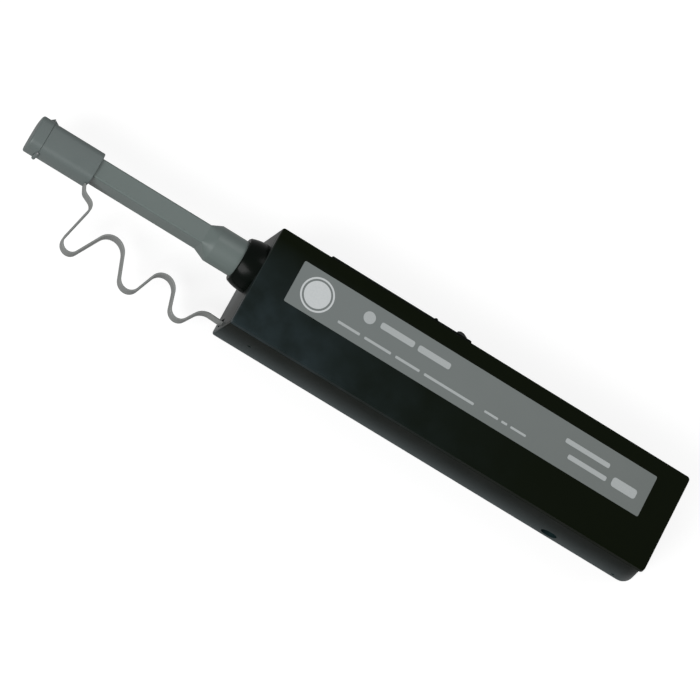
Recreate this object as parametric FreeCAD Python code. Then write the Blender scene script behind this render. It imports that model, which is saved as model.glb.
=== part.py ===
# Fibre connector cleaning pen: a push-and-wipe tool for multi-fibre connectors.
# Millimetres. The pen lies on its flat back (z = 0) with the label face up (+Z),
# the nozzle points to -X and the thumb-slide track is on the +Y side.
# The origin is the centre of the back face of the housing.
import FreeCAD, Part
import math
import os

V = FreeCAD.Vector
X_AXIS = V(1, 0, 0)
Y_AXIS = V(0, 1, 0)
Z_AXIS = V(0, 0, 1)

# ---- housing -------------------------------------------------------------------
BACK_LENGTH = 149.0        # length of the back face
REAR_RAKE = 5.0            # how far the rear end leans in from back to label face
BODY_WIDTH = 32.4
BODY_DEPTH = 24.0
COVER_DEPTH = 3.0          # visible depth of the front cover's side
WALL = 2.0
FRONT_CORNER = 0.8         # corner radii seen from the label face
REAR_CORNER = 4.2
COVER_REAR_CORNER = 1.1
BACK_EDGE = 0.8            # round on the edges of the back
COVER_EDGE = 0.5           # round on the edges of the cover
LIP_DROP = 1.5             # tongue of the cover inside the tray
LIP_THICK = 0.85
LIP_CLEAR = 0.05
SEAM_BEVEL = 0.15

# ---- label -----------------------------------------------------------------------
LABEL_FRONT_MARGIN = 10.3  # from the front edge of the label face
LABEL_REAR_MARGIN = 9.3
LABEL_WIDTH = 13.8
LABEL_THICK = 0.2
LABEL_RECESS = 0.25
LABEL_CENTRE_Y = 4.05
LABEL_CORNER = 0.5

# ---- nozzle ------------------------------------------------------------------------
NOZZLE_SIDE = 12.9         # nozzle axis in from the side with the thumb slide
NOZZLE_DROP = 8.4          # and below the label face
SHAFT_Y = 6.3              # outer section of the flat shaft
SHAFT_Z = 9.6
SHAFT_EDGE = 0.7
GUIDE_Y = 4.9              # inner section of the nozzle
GUIDE_Z = 8.4
TIP_REACH = 74.6           # nozzle tip in front of the end face
BASE_R = 5.85              # round base that runs in the collar
FLARE_FRONT = 18.3         # flare between round base and flat shaft
FLARE_REAR = 14.7
TAIL_END = 16.0            # end of the base behind the end face
FLANGE_Y = 12.2
FLANGE_Z = 12.2
FLANGE_THICK = 2.0
FLANGE_GAP = 0.3           # behind the front wall
PUSH_STROKE = 9.0

# ---- collar ------------------------------------------------------------------------
COLLAR_R = 8.0
COLLAR_RIM_R = 6.8
COLLAR_RIM_EDGE = 0.3
COLLAR_REACH = 5.9
COLLAR_SWELL = 0.3         # how far the side swells past a straight cone
SPIGOT_R = 6.6
RUN_CLEAR = 0.07           # radial running clearance

# ---- stem, head and tape ----------------------------------------------------------
STEM_Y = 3.3
STEM_Z = 8.0
STEM_END = 47.5            # rear end of the stem behind the end face
TAPE_WIDTH = 6.4
TAPE_THICK = 0.25
TAPE_GAP = 0.03
HEAD_LENGTH = 6.0          # nose to shoulder
HEAD_Z = 6.8
HEAD_INSET = 1.2           # nose of the head inside the nozzle tip
HEAD_FLOAT = 1.5
TANG_Y = 1.7
TANG_Z = 3.0
TANG_LENGTH = 6.0
POCKET_CLEAR = 0.1
HEAD_SPRING_LENGTH = 7.0
HEAD_SPRING_R = 0.75
HEAD_WIRE = 0.3
BLOCK_START = 42.0         # block that holds the stem, behind the end face
BLOCK_LENGTH = 6.0
BLOCK_Y = 11.2
SPRING_R = 5.0             # mean radius of the nozzle spring
SPRING_WIRE = 0.8
SPRING_TURNS = 9

# ---- cap, lid and tether -------------------------------------------------------------
CAP_Y = 10.7
CAP_Z = 12.0
CAP_ROUND = 2.6
CAP_CROWN = 14.0           # radius of the crowned faces
CAP_LENGTH = 17.0
CAP_MOUTH = 2.5            # mouth of the cap behind the nozzle tip
CAP_CLEAR = 0.12
LID_GAP = 0.1
LID_WALL = 0.9
LID_ROOM = 0.5             # between the nozzle tip and the lid
LID_ROOM_Y = 7.8           # the lid swings past the nozzle tip
LID_ROOM_Z = 10.0
LID_RIM = 0.25             # the lid stands proud of the cap by this
TAB_REACH = 1.2
TAB_RUN = 1.5              # slope of the tab in front of the joint
CATCH_REACH = 0.95
CATCH_RUN = 1.6            # slope of the catch behind the joint
TAB_WIDTH = 3.4
HINGE_R = 0.6
HINGE_OFFSET = 0.05
HINGE_PIN_R = 0.3
HINGE_CLEAR = 0.05
KNUCKLE_WIDTH = 2.6
EAR_WIDTH = 1.6
STRAP_WIDTH = 4.2
STRAP_THICK = 0.85
STRAP_END_Z = 7.0
STRAP_END_SIDE = 2.5       # strap's end in from the side of the housing
STRAP_GRIP = 0.6           # centre of the strap's root in front of the cap's rear rim
STRAP_RUN = 55.1           # free run the wave is drawn for; it follows the run there is
# lobes of the moulded wave: distance in front of the housing, height over the line of the
# housing's side, radius, turn (+1 is anticlockwise seen from the label face)
STRAP_LOBES = [
    (52.5, 9.2, 1.5, -1),
    (50.4, -3.0, 2.8, 1),
    (39.8, 1.2, 4.6, -1),
    (30.0, -2.1, 3.35, 1),
    (20.9, 0.9, 4.1, -1),
    (12.7, -1.2, 3.1, 1),
]
STRAP_END_LOBE_R = 5.0
STRAP_END_RUN = 4.0
STRAP_SLOT = 2.6           # width of the slit in the end face
T_HEAD = 2.9               # cross bar behind the slit

# ---- thumb slide --------------------------------------------------------------------
TRACK_START = 17.3         # raised track, behind the end face
TRACK_END = 66.2
TRACK_HEIGHT = 1.75
TRACK_WIDTH = 9.4
SLOT_WIDTH = 3.0
SLOT_CLEAR = 0.1
KNOB_REST = 63.0           # centre of the knob behind the end face
KNOB_LENGTH = 3.6
KNOB_WIDTH = 6.4
KNOB_HEIGHT = 1.05
KNOB_GAP = 0.15
NECK_LENGTH = 3.0
SLIDE_STROKE = 38.0
SLIDE_PLAY = 0.3
RIB_PLACE = 53.7           # small index rib on the track
RIB_HEIGHT = 0.35
RACK_HEIGHT = 5.0
RACK_BAR = 2.45            # thickness of the rack behind its teeth
RACK_BACK = 0.3            # gap between rack and side wall
RACK_OVERRUN = 6.0
WEB_THICK = 2.0
WEB_LENGTH = 8.0

# ---- drive and reels -------------------------------------------------------------------
MODULE = 1.0
GEAR_THICK = 4.0
GEAR_SIDE_GAP = 1.4        # least gap between the gear and the side wall
ROOT_DEPTH = 1.25 * MODULE
BACKLASH = 0.16
PRESSURE_ANGLE = 20.0
TAKEUP_X = 66.0            # behind the end face
SUPPLY_REAR = 37.0         # supply shaft in front of the rear end
SUPPLY_Y = 0.0
SHAFT_R = 2.0
BORE_CLEAR = 0.05
FLANGE_PLATE = 0.8
REEL_HEIGHT = 8.8
REEL_SIDE_GAP = 1.2        # between the supply reel and the side walls
RATCHET_INSET = 0.5        # ratchet rim inside the gear's pitch circle
REEL_HUB_R = 4.0
TAKEUP_ROLL_R = 5.7
SUPPLY_ROLL_INSET = 2.1    # full roll inside the rim of its flanges
CLUTCH_HEIGHT = 2.2        # between the gear and the take-up reel
RATCHET_TEETH = 24
RATCHET_DEPTH = 0.9
CLUTCH_HUB_R = 3.5
CLUTCH_WIRE = 0.5
CLUTCH_TURNS = 2
ROLLER_PIN_R = 0.8
ROLLER_FOOT_R = 1.35
RUN_ROLLER_R = 1.5         # guides the used tape to the take-up reel
FEED_ROLLER_R = 1.6        # guides the fresh tape into the stem
CORNER_ROLLER_R = 1.8      # leads the fresh tape along the side wall
ROLLER_GAP = 0.3
RETURN_SPRING_R = 0.85
RETURN_WIRE = 0.3
RETURN_ROOM = 1.0          # the return spring ends this far in front of the supply reel
RETURN_TURNS = 22
RETURN_PEG = 1.2           # thickness of the peg it hangs on

# ---- fixings and lanyard hole -----------------------------------------------------------
SCREW_SHANK_R = 0.95
SCREW_HEAD_R = 1.9
SCREW_HEAD = 1.4
SCREW_REACH = 16.0
POST_R = 2.2
BOSS_R = 2.4
BOSS_TOP = 8.0
LANYARD_REAR = 31.0        # lanyard hole in front of the rear end
LANYARD_Z = 5.0
LANYARD_R = 2.65
LANYARD_WALL = 1.1
LANYARD_BOSS = 1.0         # thickening of the side wall round the hole
LANYARD_POCKET = 6.5       # pocket behind the hole, open to the back
DIMPLE_R = 0.55            # witness dimples on the side: from the end, height
DIMPLE_DEPTH = 0.5
FRONT_DIMPLE = (10.2, 10.1)
REAR_DIMPLE = (7.0, 3.4)

# ---- worked-out places -------------------------------------------------------------------
FRONT = -BACK_LENGTH / 2
SEAM = BODY_DEPTH - COVER_DEPTH
CEILING = BODY_DEPTH - WALL
SIDE = BODY_WIDTH / 2
RAKE = REAR_RAKE / BODY_DEPTH
NOZZLE_Y = SIDE - NOZZLE_SIDE
NOZZLE_Z = BODY_DEPTH - NOZZLE_DROP
LABEL_LENGTH = BACK_LENGTH - REAR_RAKE - LABEL_FRONT_MARGIN - LABEL_REAR_MARGIN
TAPE_LINE = STEM_Y / 2 + TAPE_GAP + TAPE_THICK / 2
TAPE_TOP_Z = NOZZLE_Z + TAPE_WIDTH / 2
HEAD_NOSE = TIP_REACH - HEAD_INSET
CAP_FRONT = TIP_REACH - CAP_MOUTH
CAP_REAR = CAP_FRONT - CAP_LENGTH
LID_FRONT = TIP_REACH + LID_ROOM + LID_WALL
RACK_BACK_Y = SIDE - WALL - RACK_BACK
RACK_PITCH_Y = RACK_BACK_Y - RACK_BAR - ROOT_DEPTH
GEAR_ROOM = RACK_PITCH_Y + SIDE - WALL - GEAR_SIDE_GAP - MODULE
GEAR_TEETH = math.floor(GEAR_ROOM / MODULE + 0.001)
PITCH_R = MODULE * GEAR_TEETH / 2
TAKEUP_Y = RACK_PITCH_Y - PITCH_R
SUPPLY_X = BACK_LENGTH - SUPPLY_REAR
LANYARD_X = BACK_LENGTH - LANYARD_REAR
REEL_Z = NOZZLE_Z - REEL_HEIGHT / 2
REEL_TOP = NOZZLE_Z + REEL_HEIGHT / 2
GEAR_Z = REEL_Z - CLUTCH_HEIGHT - GEAR_THICK
RACK_Z = GEAR_Z - (RACK_HEIGHT - GEAR_THICK) / 2
RACK_TOP = RACK_Z + RACK_HEIGHT
TAKEUP_FLANGE_R = PITCH_R - RATCHET_INSET
SUPPLY_FLANGE_R = SIDE - WALL - REEL_SIDE_GAP
SUPPLY_ROLL_R = SUPPLY_FLANGE_R - SUPPLY_ROLL_INSET
RETURN_END = SUPPLY_X - SUPPLY_FLANGE_R - RETURN_ROOM
RETURN_LENGTH = RETURN_END - KNOB_REST - WEB_LENGTH / 2
SCREWS = [(7.0, 6.0 - SIDE), (14.0, SIDE - 4.3),
          (BACK_LENGTH - 12.0, 6.0 - SIDE), (BACK_LENGTH - 12.0, SIDE - 6.0)]
PAWL_POST = (FRONT + TAKEUP_X + 13.7, 6.8 - SIDE)
DRAG_POST = (FRONT + SUPPLY_X + 15.9, 8.0 - SIDE)


def behind(distance):
    """X of a plane this far behind the front end face (negative is in front)."""
    return FRONT + distance


def box(x0, x1, y0, y1, z0, z1):
    return Part.makeBox(x1 - x0, y1 - y0, z1 - z0, V(x0, y0, z0))


def cylinder(centre, radius, length, axis=Z_AXIS):
    return Part.makeCylinder(radius, length, centre, axis)


def tube(centre, outer, inner, length, axis=Z_AXIS):
    return cylinder(centre, outer, length, axis).cut(cylinder(centre, inner, length, axis))


def fuse(*shapes):
    result = shapes[0]
    for shape in shapes[1:]:
        result = result.fuse(shape)
    return result.removeSplitter()


def prism(points, x0, x1):
    """Polygon of (y, z) points swept from x0 to x1."""
    wire = Part.makePolygon([V(x0, y, z) for y, z in points + points[:1]])
    return Part.Face(wire).extrude(V(x1 - x0, 0, 0))


def flat_plate(points, z0, z1):
    """Polygon of (x, y) points swept from z0 to z1."""
    wire = Part.makePolygon([V(x, y, z0) for x, y in points + points[:1]])
    return Part.Face(wire).extrude(V(0, 0, z1 - z0))


def round_bar(x0, x1, size_y, size_z, radius):
    """Bar along X on the nozzle axis with rounded long edges."""
    bar = box(x0, x1, NOZZLE_Y - size_y / 2, NOZZLE_Y + size_y / 2,
              NOZZLE_Z - size_z / 2, NOZZLE_Z + size_z / 2)
    long_edges = [e for e in bar.Edges if abs(e.tangentAt(e.FirstParameter).x) > 0.99]
    return bar.makeFillet(radius, long_edges)


def crowned_bar(x0, x1, size_y, size_z, crown, radius):
    """As round_bar, but all four long faces are crowned."""
    bar = box(x0, x1, NOZZLE_Y - size_y / 2, NOZZLE_Y + size_y / 2,
              NOZZLE_Z - size_z / 2, NOZZLE_Z + size_z / 2)
    for sign in (-1, 1):
        for dy, dz in ((0, sign * (size_z / 2 - crown)), (sign * (size_y / 2 - crown), 0)):
            centre = V(x0 - 1, NOZZLE_Y + dy, NOZZLE_Z + dz)
            bar = bar.common(cylinder(centre, crown, x1 - x0 + 2, X_AXIS))
    long_edges = [e for e in bar.Edges if len(e.Vertexes) == 2
                  and abs(e.Vertexes[0].X - e.Vertexes[1].X) > (x1 - x0) / 2]
    return bar.makeFillet(radius, long_edges)


def end_edges(shape, x):
    return [e for e in shape.Edges if abs(e.BoundBox.XMin - x) < 1e-3
            and abs(e.BoundBox.XMax - x) < 1e-3]


def coil(radius, wire, length, turns, base, axis):
    """Round-wire coil spring whose wire lies wholly between base and base + length."""
    rise = length - wire
    helix = Part.makeHelix(rise / turns, rise, radius)
    ring = Part.Wire(Part.makeCircle(wire / 2, V(radius, 0, 0), Y_AXIS))
    spring = Part.Wire(helix.Edges).makePipeShell([ring], True, True)
    spring.translate(V(0, 0, wire / 2))
    turn = FreeCAD.Rotation(Z_AXIS, axis)
    spring.Placement = FreeCAD.Placement(base, turn).multiply(spring.Placement)
    return spring


# ---- strips that run round a row of circles -------------------------------------------------
def tangent_line(first, second):
    """Straight run that leaves one circle and meets the next: (x, y, r, turn) each."""
    (x1, y1, r1, s1), (x2, y2, r2, s2) = first, second
    span = math.hypot(x2 - x1, y2 - y1)
    heading = math.atan2(y2 - y1, x2 - x1) - math.asin((s2 * r2 - s1 * r1) / span)
    left = (-math.sin(heading), math.cos(heading))
    start = (x1 - s1 * r1 * left[0], y1 - s1 * r1 * left[1])
    end = (x2 - s2 * r2 * left[0], y2 - s2 * r2 * left[1])
    return start, end, heading


def strip(circles, thickness, z0, z1, start, end):
    """Band of even thickness through start, round the circles, to end.

    start and end are circles of no radius, so the band begins and ends square.
    """
    nodes = [(start[0], start[1], 0.0, 1)] + circles + [(end[0], end[1], 0.0, 1)]
    runs = [tangent_line(a, b) for a, b in zip(nodes, nodes[1:])]
    half = thickness / 2
    sides = {}
    for side in (1, -1):
        edges = []
        for number, (p, q, heading) in enumerate(runs):
            shift = (-math.sin(heading) * half * side, math.cos(heading) * half * side)
            a = V(p[0] + shift[0], p[1] + shift[1], z0)
            b = V(q[0] + shift[0], q[1] + shift[1], z0)
            edges.append(Part.makeLine(a, b))
            if number + 1 < len(runs):
                x, y, radius, turn = nodes[number + 1]
                next_heading = runs[number + 1][2]
                bend = (next_heading - heading) % (2 * math.pi)
                if turn < 0:
                    bend -= 2 * math.pi
                reach = radius - turn * side * half
                angles = [heading - turn * math.pi / 2 + bend * part for part in (0, 0.5, 1)]
                arc = [V(x + reach * math.cos(t), y + reach * math.sin(t), z0) for t in angles]
                edges.append(Part.Arc(*arc).toShape())
        sides[side] = edges
    caps = [Part.makeLine(sides[1][0].Vertexes[0].Point, sides[-1][0].Vertexes[0].Point),
            Part.makeLine(sides[1][-1].Vertexes[-1].Point, sides[-1][-1].Vertexes[-1].Point)]
    outline = Part.Wire(Part.__sortEdges__(sides[1] + sides[-1] + caps))
    return Part.Face(outline).extrude(V(0, 0, z1 - z0))


# ---- housing shells -----------------------------------------------------------------------------
def rear_x(z):
    """X of the raked rear end at a height above the back."""
    return BACK_LENGTH / 2 - RAKE * z


def hull(inset, z0, z1, front_corner, rear_corner):
    """Block with the outline of the housing, drawn in by inset all round."""
    lean = inset * math.hypot(1, RAKE)
    outline = [(FRONT + inset, z0), (rear_x(z0) - lean, z0),
               (rear_x(z1) - lean, z1), (FRONT + inset, z1)]
    wire = Part.makePolygon([V(x, -SIDE + inset, z) for x, z in outline + outline[:1]])
    block = Part.Face(wire).extrude(V(0, BODY_WIDTH - 2 * inset, 0))
    for rear, radius in ((False, front_corner), (True, rear_corner)):
        edges = [e for e in block.Edges
                 if len(e.Vertexes) == 2 and abs(e.Vertexes[0].Z - e.Vertexes[1].Z) > 1e-3
                 and abs(e.Vertexes[0].Y - e.Vertexes[1].Y) < 1e-6
                 and (e.CenterOfMass.x > 0) == rear]
        if radius > 0.05:
            block = block.makeFillet(radius, edges)
    return block


def rim_edges(shape, z):
    return [e for e in shape.Edges if abs(e.BoundBox.ZMin - z) < 1e-4
            and abs(e.BoundBox.ZMax - z) < 1e-4]


def nozzle_hole(radius):
    return cylinder(V(behind(-1), NOZZLE_Y, NOZZLE_Z), radius, WALL + 2, X_AXIS)


def screw_places():
    return [(behind(x), y) for x, y in SCREWS]


def saddle(z0, z1, x0):
    """Rib that carries the tail of the nozzle and stops its flange."""
    width = BASE_R + 0.35
    rib = box(x0, x0 + 1.6, NOZZLE_Y - width, NOZZLE_Y + width, z0, z1)
    return rib.cut(cylinder(V(x0 - 1, NOZZLE_Y, NOZZLE_Z), BASE_R + RUN_CLEAR, 4, X_AXIS))


def saddle_x():
    return behind(WALL + FLANGE_GAP + FLANGE_THICK + PUSH_STROKE + 0.1)


def track():
    """Raised thumb-slide track on the +Y side, with an index rib on its upper edge."""
    bar = box(behind(TRACK_START), behind(TRACK_END), SIDE - 0.5, SIDE + TRACK_HEIGHT,
              NOZZLE_Z - TRACK_WIDTH / 2, NOZZLE_Z + TRACK_WIDTH / 2)
    outer = [e for e in bar.Edges if abs(e.CenterOfMass.y - SIDE - TRACK_HEIGHT) < 1e-3]
    bar = bar.makeFillet(0.6, outer)
    rib_z = NOZZLE_Z + KNOB_WIDTH / 2 + 0.3
    rib = cylinder(V(behind(RIB_PLACE), SIDE + TRACK_HEIGHT - 0.3, rib_z), RIB_HEIGHT + 0.3,
                   TRACK_WIDTH / 2 - KNOB_WIDTH / 2 - 0.6)
    return bar.fuse(rib)


def slot():
    """Slot for the neck of the knob, through the track and the side wall."""
    half = NECK_LENGTH / 2 + SLIDE_PLAY
    return box(behind(KNOB_REST - SLIDE_STROKE) - half, behind(KNOB_REST) + half,
               SIDE - WALL - 1, SIDE + TRACK_HEIGHT + 1,
               NOZZLE_Z - SLOT_WIDTH / 2, NOZZLE_Z + SLOT_WIDTH / 2)


def lanyard_pocket(wall, back):
    """Pocket behind the lanyard hole: a cord goes in at the side and out at the back."""
    reach = LANYARD_R + wall
    x = behind(LANYARD_X)
    inner = -SIDE + WALL + LANYARD_BOSS
    outer = -SIDE + 0.5 if wall else inner
    return box(x - reach, x + reach, outer, inner + LANYARD_POCKET + wall, back,
               LANYARD_Z + reach)


def make_rear_shell():
    """Deep tray: walls, floor, raised track, bosses, saddle and lanyard tube."""
    tray = hull(0, 0, SEAM, FRONT_CORNER, REAR_CORNER)
    tray = tray.makeFillet(BACK_EDGE, rim_edges(tray, 0))
    tray = tray.makeChamfer(SEAM_BEVEL, rim_edges(tray, SEAM))
    tray = tray.fuse(track())
    tray = tray.cut(hull(WALL, WALL, SEAM + 1, 0, REAR_CORNER - WALL))
    tray = tray.cut(hull(WALL - LIP_THICK - 2 * LIP_CLEAR, SEAM - LIP_DROP - LIP_CLEAR, SEAM + 1,
                         0.2, REAR_CORNER - WALL + LIP_THICK))
    floor = WALL - 0.01
    bosses = [cylinder(V(x, y, floor), BOSS_R, BOSS_TOP - floor) for x, y in screw_places()]
    bosses.append(cylinder(V(behind(TAKEUP_X), TAKEUP_Y, floor), CLUTCH_HUB_R,
                           GEAR_Z - 0.1 - floor))
    bosses.append(cylinder(V(behind(SUPPLY_X), SUPPLY_Y, floor), CLUTCH_HUB_R,
                           REEL_Z - 0.1 - floor))
    for x, y, radius, turn in roller_circles():
        bosses.append(cylinder(V(x, y, floor), ROLLER_PIN_R + 0.7, GEAR_Z - 0.6 - floor))
    bosses.append(return_peg())
    bosses.append(cylinder(V(*PAWL_POST, floor), 1.3, REEL_Z - 0.2 - floor))
    bosses.append(cylinder(V(*DRAG_POST, floor), 1.3, REEL_Z - 0.2 - floor))
    bosses.append(saddle(floor, NOZZLE_Z, saddle_x()))
    bosses.extend(block_keys(floor))
    tray = fuse(tray, *bosses)
    tray = tray.fuse(lanyard_pocket(LANYARD_WALL, floor))
    tray = tray.cut(lanyard_pocket(0, -1))
    tray = tray.cut(cylinder(V(behind(LANYARD_X), -SIDE - 1, LANYARD_Z), LANYARD_R,
                             WALL + LANYARD_BOSS + 1.5, Y_AXIS))
    for x, y in screw_places():
        tray = tray.cut(cylinder(V(x, y, -1), SCREW_SHANK_R + 0.15, BOSS_TOP + 2))
        tray = tray.cut(cylinder(V(x, y, -1), SCREW_HEAD_R + 0.2, 1 + SCREW_HEAD + 0.2))
    for x, y in ((behind(TAKEUP_X), TAKEUP_Y), (behind(SUPPLY_X), SUPPLY_Y)):
        tray = tray.cut(cylinder(V(x, y, WALL - 1), SHAFT_R, REEL_Z))
    for x, y, radius, turn in roller_circles():
        tray = tray.cut(cylinder(V(x, y, WALL - 1), ROLLER_PIN_R, REEL_Z))
    for x, z in (FRONT_DIMPLE, (BACK_LENGTH - REAR_DIMPLE[0], REAR_DIMPLE[1])):
        tray = tray.cut(cylinder(V(behind(x), -SIDE - 1, z), DIMPLE_R, 1 + DIMPLE_DEPTH, Y_AXIS))
    tray = tray.cut(slot())
    tray = tray.cut(nozzle_hole(SPIGOT_R))
    tray = tray.cut(strap_slot())
    return tray.removeSplitter()


def make_front_cover():
    """Flat cover with a tongue, screw posts, hold-down saddle and label recess."""
    cover = hull(0, SEAM, BODY_DEPTH, FRONT_CORNER, COVER_REAR_CORNER)
    cover = cover.makeFillet(COVER_EDGE, rim_edges(cover, BODY_DEPTH))
    cover = cover.makeChamfer(SEAM_BEVEL, rim_edges(cover, SEAM))
    cover = cover.cut(hull(WALL, SEAM - 1, CEILING, 0, COVER_REAR_CORNER))
    lip_low = SEAM - LIP_DROP
    tongue = hull(WALL - LIP_THICK - LIP_CLEAR, lip_low, SEAM + 0.5, 0.3,
                  REAR_CORNER - WALL + LIP_THICK)
    tongue = tongue.cut(hull(WALL, lip_low - 1, SEAM + 1, 0, REAR_CORNER - WALL))
    cover = fuse(cover, tongue)
    posts = [cylinder(V(x, y, BOSS_TOP), POST_R, CEILING + 0.5 - BOSS_TOP)
             for x, y in screw_places()]
    for x, y, inner, top in shaft_sockets():
        posts.append(tube(V(x, y, top), inner + 1.2, inner, CEILING + 0.01 - top))
    cover = fuse(cover, saddle(NOZZLE_Z + 0.2, CEILING + 0.3, saddle_x()), *posts)
    for x, y in screw_places():
        cover = cover.cut(cylinder(V(x, y, BOSS_TOP - 1), SCREW_SHANK_R, SCREW_REACH + 2 - BOSS_TOP))
    recess = label_plate(BODY_DEPTH - LABEL_RECESS, BODY_DEPTH + 1, 0.05)
    cover = cover.cut(recess)
    return cover.cut(nozzle_hole(SPIGOT_R)).removeSplitter()


def label_plate(z0, z1, grow):
    x0 = behind(LABEL_FRONT_MARGIN) - grow
    y0 = LABEL_CENTRE_Y - LABEL_WIDTH / 2 - grow
    plate = box(x0, x0 + LABEL_LENGTH + 2 * grow, y0, y0 + LABEL_WIDTH + 2 * grow,
                z0, z1)
    upright = [e for e in plate.Edges if abs(e.tangentAt(e.FirstParameter).z) > 0.99]
    return plate.makeFillet(LABEL_CORNER + grow, upright)


def shaft_sockets():
    """Rings under the cover that hold the tops of the reel shafts: x, y, bore, lowest z."""
    return [(behind(TAKEUP_X), TAKEUP_Y, SHAFT_R, REEL_TOP + 0.3),
            (behind(SUPPLY_X), SUPPLY_Y, SHAFT_R, REEL_TOP + 0.3)]


def make_label():
    underside = BODY_DEPTH - LABEL_RECESS
    return label_plate(underside, underside + LABEL_THICK, 0)


def make_collar():
    """Swelling ring round the nozzle: a revolved profile with a spigot in the wall."""
    mouth = BASE_R + RUN_CLEAR
    front = behind(-COLLAR_REACH)
    rim = front + COLLAR_RIM_EDGE
    rim_r = COLLAR_RIM_R + COLLAR_RIM_EDGE

    def at(x, r):
        return V(x, NOZZLE_Y, NOZZLE_Z + r)

    swell = at((rim + FRONT) / 2, (rim_r + COLLAR_R) / 2 + COLLAR_SWELL)
    edges = [Part.makeLine(at(front, mouth), at(front, COLLAR_RIM_R)),
             Part.makeLine(at(front, COLLAR_RIM_R), at(rim, rim_r)),
             Part.Arc(at(rim, rim_r), swell, at(FRONT, COLLAR_R)).toShape(),
             Part.makeLine(at(FRONT, COLLAR_R), at(FRONT, SPIGOT_R)),
             Part.makeLine(at(FRONT, SPIGOT_R), at(behind(WALL), SPIGOT_R)),
             Part.makeLine(at(behind(WALL), SPIGOT_R), at(behind(WALL), mouth)),
             Part.makeLine(at(behind(WALL), mouth), at(front, mouth))]
    face = Part.Face(Part.Wire(edges))
    return face.revolve(V(FRONT, NOZZLE_Y, NOZZLE_Z), X_AXIS, 360)


# ---- nozzle, stem and head -----------------------------------------------------------------------
def section_wire(x, size_y, size_z, radius):
    """Closed outline of a rounded section at x, as one smooth-cornered wire."""
    slice_face = [f for f in round_bar(x, x + 1, size_y, size_z, radius).Faces
                  if abs(f.BoundBox.XMax - x) < 1e-4][0]
    return slice_face.OuterWire


def make_nozzle():
    """Flat hollow shaft that flares into a round base with a keyed flange."""
    tip = behind(-TIP_REACH)
    flare_front = behind(-FLARE_FRONT)
    flare_rear = behind(-FLARE_REAR)
    tail = behind(TAIL_END)
    shaft = round_bar(tip, flare_front, SHAFT_Y, SHAFT_Z, SHAFT_EDGE)
    tip_edges = [e for e in shaft.Edges if abs(e.BoundBox.XMax - tip) < 1e-3]
    shaft = shaft.makeChamfer(0.3, tip_edges)
    base = cylinder(V(flare_rear, NOZZLE_Y, NOZZLE_Z), BASE_R, tail - flare_rear, X_AXIS)
    round_end = section_wire(flare_rear, 2 * BASE_R - 0.01, 2 * BASE_R - 0.01, BASE_R - 0.01)
    flat_end = section_wire(flare_front, SHAFT_Y, SHAFT_Z, SHAFT_EDGE)
    flare = Part.makeLoft([flat_end, round_end], True, True)
    flange_x = behind(WALL + FLANGE_GAP)
    flange = round_bar(flange_x, flange_x + FLANGE_THICK, FLANGE_Y, FLANGE_Z, 1.0)
    body = shaft.fuse([flare, base, flange])
    bore = round_bar(tip - 1, tail + 1, GUIDE_Y, GUIDE_Z, 0.3)
    return body.cut(bore).removeSplitter()


def stem_front():
    return behind(-HEAD_NOSE + HEAD_LENGTH + HEAD_FLOAT + 0.3)


def make_stem():
    """Flat bar inside the nozzle that carries the tape to the head and back."""
    stem = box(stem_front(), behind(STEM_END), NOZZLE_Y - STEM_Y / 2, NOZZLE_Y + STEM_Y / 2,
               NOZZLE_Z - STEM_Z / 2, NOZZLE_Z + STEM_Z / 2)
    pocket = box(stem_front() - 1, stem_front() + TANG_LENGTH + HEAD_SPRING_LENGTH - 1.7,
                 NOZZLE_Y - TANG_Y / 2 - POCKET_CLEAR, NOZZLE_Y + TANG_Y / 2 + POCKET_CLEAR,
                 NOZZLE_Z - TANG_Z / 2 - POCKET_CLEAR, NOZZLE_Z + TANG_Z / 2 + POCKET_CLEAR)
    return stem.cut(pocket)


def make_head():
    """Cleaning head: half-round nose with a tang that runs in the stem."""
    nose_r = STEM_Y / 2
    nose_x = behind(-HEAD_NOSE) + nose_r
    z0 = NOZZLE_Z - HEAD_Z / 2
    body_end = stem_front() - HEAD_FLOAT - 0.3
    nose = cylinder(V(nose_x, NOZZLE_Y, z0), nose_r, HEAD_Z)
    block = box(nose_x, body_end, NOZZLE_Y - nose_r, NOZZLE_Y + nose_r, z0, z0 + HEAD_Z)
    tang = box(body_end - 0.01, body_end + TANG_LENGTH, NOZZLE_Y - TANG_Y / 2,
               NOZZLE_Y + TANG_Y / 2, NOZZLE_Z - TANG_Z / 2, NOZZLE_Z + TANG_Z / 2)
    return fuse(nose, block, tang)


def make_head_spring():
    start = stem_front() - HEAD_FLOAT - 0.3 + TANG_LENGTH
    end = stem_front() + TANG_LENGTH + HEAD_SPRING_LENGTH - 1.7
    return coil(HEAD_SPRING_R, HEAD_WIRE, end - start, 7, V(start, NOZZLE_Y, NOZZLE_Z), X_AXIS)


def make_stem_block():
    """Block on the tray floor that grips the stem and seats the nozzle spring."""
    x0 = behind(BLOCK_START)
    block = box(x0, x0 + BLOCK_LENGTH, NOZZLE_Y - BLOCK_Y / 2, NOZZLE_Y + BLOCK_Y / 2,
                WALL, CEILING - 0.1)
    upright = [e for e in block.Edges if abs(e.tangentAt(e.FirstParameter).z) > 0.99]
    block = block.makeFillet(0.6, upright)
    gap = STEM_Y / 2 + TAPE_GAP + TAPE_THICK + 0.15
    window = box(x0 - 1, x0 + BLOCK_LENGTH + 1, NOZZLE_Y - gap, NOZZLE_Y + gap,
                 NOZZLE_Z - STEM_Z / 2, NOZZLE_Z + STEM_Z / 2)
    return block.cut(window)


def block_keys(floor):
    """Two low ribs on the tray floor, fore and aft of the stem block."""
    x0 = behind(BLOCK_START)
    keys = []
    for x in (x0 - 1.25, x0 + BLOCK_LENGTH + 0.05):
        keys.append(box(x, x + 1.2, NOZZLE_Y - 3, NOZZLE_Y + 3, floor, GEAR_Z - 0.6))
    return keys


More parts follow.
